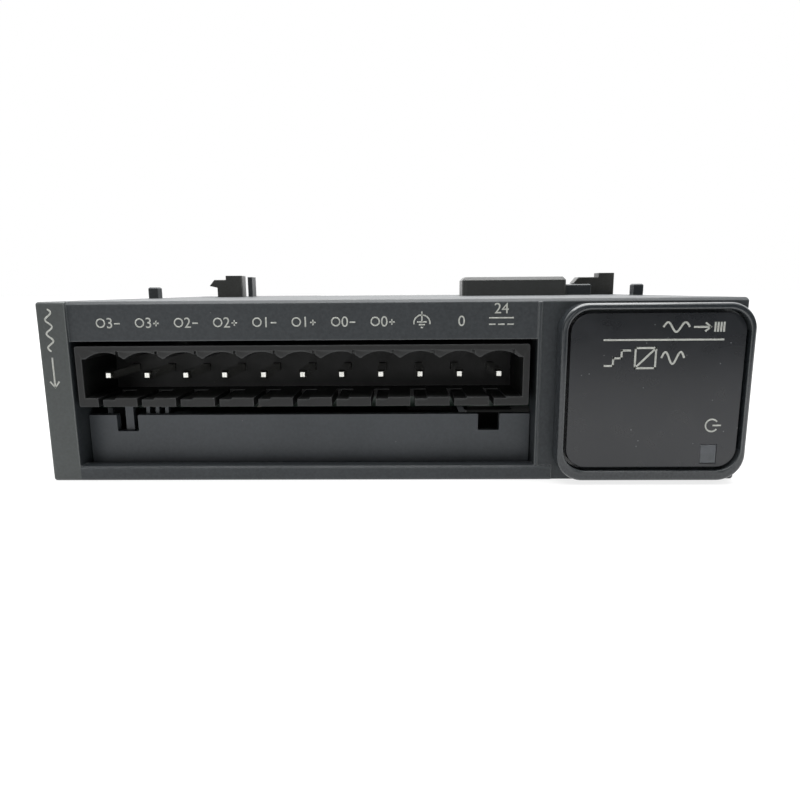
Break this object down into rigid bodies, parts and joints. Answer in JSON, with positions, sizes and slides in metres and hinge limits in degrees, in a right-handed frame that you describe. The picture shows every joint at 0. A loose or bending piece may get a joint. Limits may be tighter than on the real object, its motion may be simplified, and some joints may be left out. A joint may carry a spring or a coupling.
{
  "type": "controller expansion module",
  "caption": "Flat rail-mounted controller module lying on its side: open multi-pole pin header, dark window with a lamp lens, bus plug, sliding lock hooks and a pull-out rail clip.",
  "frame": {"origin": "under the middle of the whole module, on the outer face of its right side, which it rests on", "axes": "+X towards the window end (the top once it is on a rail), -Y out of the front, +Y towards the rail, +Z out of the left side, which has the bus plug and lock hooks"},
  "size_m": [0.09, 0.07, 0.0278],
  "materials": {
    "case_plastic": "fine-textured dark charcoal ABS",
    "panel_plastic": "smooth dark charcoal moulding",
    "window_gloss": "smooth near-black semi-gloss plate",
    "lens_smoke": "smoked translucent lens",
    "clear_plastic": "clear moulded light guide",
    "led_body": "white lamp package",
    "header_plastic": "black glass-filled polyamide",
    "tinned_pin": "bright tin plating",
    "circuit_board": "green solder mask on glass-fibre board",
    "connector_plastic": "black connector moulding",
    "plated_contact": "gold-plated contact",
    "slider_plastic": "black nylon-like moulding",
    "label_paper": "satin silver-grey blank label",
    "ferrite": "dark sintered ferrite",
    "capacitor_can": "drawn aluminium can",
    "chip_black": "black epoxy package",
    "fuse_white": "white ceramic body",
    "crystal_can": "metal crystal lid"
  },
  "bodies": {
    "housing": {"front_cover": "case_plastic", "rear_case": "case_plastic", "left_cover": "case_plastic", "bay_panel": "panel_plastic", "window_bezel": "case_plastic", "window_plate": "window_gloss", "led_lens": "lens_smoke", "light_guide": "clear_plastic", "power_led": "led_body", "terminal_header": "header_plastic", "header_contacts": "tinned_pin", "main_board": "circuit_board", "bus_plug_shroud": "connector_plastic", "bus_plug_contacts": "plated_contact", "bus_socket_body": "connector_plastic", "bus_socket_contacts": "plated_contact", "rating_label": "label_paper", "dc_transformer": "ferrite", "input_capacitors": "capacitor_can", "power_inductor": "ferrite", "converter_chip": "chip_black", "controller_chip": "chip_black", "output_amplifiers": "chip_black", "digital_isolators": "chip_black", "input_fuse": "fuse_white", "surge_diodes": "chip_black", "regulator_chip": "chip_black", "crystal": "crystal_can", "chip_resistors": "chip_black"},
    "lock_slider": {"lock_slider": "slider_plastic"},
    "rail_clip": {"din_clip": "slider_plastic"}
  },
  "joints": [
    {"name": "lock_slide", "type": "slide", "parent": "housing", "child": "lock_slider", "axis": [-1, 0, 0], "range_m": [0, 0.004]},
    {"name": "clip_slide", "type": "slide", "parent": "housing", "child": "rail_clip", "axis": [-1, 0, 0], "range_m": [0, 0.0085]}
  ]
}
